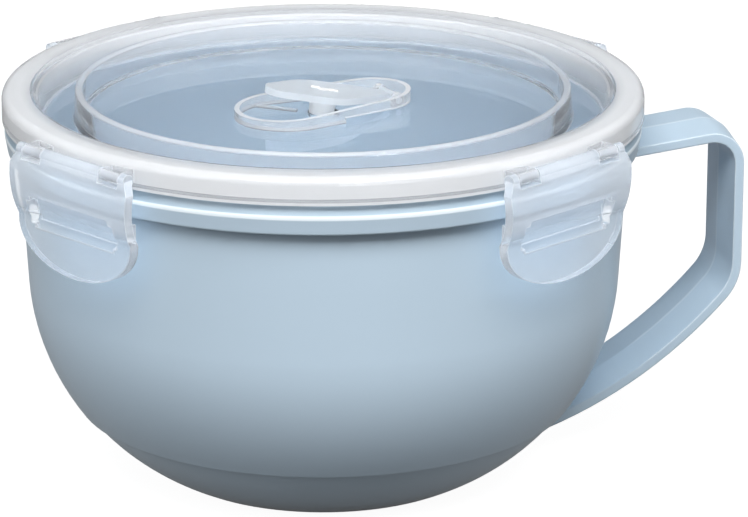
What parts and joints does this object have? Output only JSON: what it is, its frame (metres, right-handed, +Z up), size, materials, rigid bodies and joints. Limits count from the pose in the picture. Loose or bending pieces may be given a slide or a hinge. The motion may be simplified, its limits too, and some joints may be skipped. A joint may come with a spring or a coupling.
{
  "type": "soup mug",
  "caption": "Round-bottomed soup mug in pale blue plastic with a strap handle and a clear lid held by hinged locking clips, with a steam vent flap in the middle.",
  "frame": {"origin": "centre of the base, on the table", "axes": "+Z up, +X from the bowl's axis towards the handle"},
  "size_m": [0.1785, 0.1554, 0.0941],
  "materials": {
    "bowl_plastic": "satin, pale grey-blue",
    "lid_plastic": "clear, glossy",
    "clip_plastic": "milky clear, glossy",
    "seal_rubber": "matt white",
    "vent_plastic": "milky, satin"
  },
  "bodies": {
    "mug": {"bowl": "bowl_plastic", "handle": "bowl_plastic"},
    "lid": {"lid": "lid_plastic", "seal_ring": "seal_rubber"},
    "clip_1": {"clip_1": "clip_plastic"},
    "clip_2": {"clip_2": "clip_plastic"},
    "clip_3": {"clip_3": "clip_plastic"},
    "clip_4": {"clip_4": "clip_plastic"},
    "vent": {"vent_flap": "vent_plastic", "vent_plug": "seal_rubber"}
  },
  "joints": [
    {"name": "lid_lift", "type": "slide", "parent": "mug", "child": "lid", "axis": [0, 0, 1], "range_m": [0, 0.06]},
    {"name": "clip_1_hinge", "type": "hinge", "parent": "lid", "child": "clip_1", "pos_m": [0.06505, 0.04176, 0.0896], "axis": [0.5402, -0.8415, 0], "range_deg": [0, 110]},
    {"name": "clip_2_hinge", "type": "hinge", "parent": "lid", "child": "clip_2", "pos_m": [-0.04176, 0.06505, 0.0896], "axis": [0.8415, 0.5402, 0], "range_deg": [0, 110]},
    {"name": "clip_3_hinge", "type": "hinge", "parent": "lid", "child": "clip_3", "pos_m": [-0.06505, -0.04176, 0.0896], "axis": [-0.5402, 0.8415, 0], "range_deg": [0, 110]},
    {"name": "clip_4_hinge", "type": "hinge", "parent": "lid", "child": "clip_4", "pos_m": [0.04176, -0.06505, 0.0896], "axis": [-0.8415, -0.5402, 0], "range_deg": [0, 110]},
    {"name": "vent_hinge", "type": "hinge", "parent": "lid", "child": "vent", "pos_m": [0.01676, 0.00503, 0.0877], "axis": [-0.2874, 0.9578, 0], "range_deg": [-9.5, 70]}
  ]
}
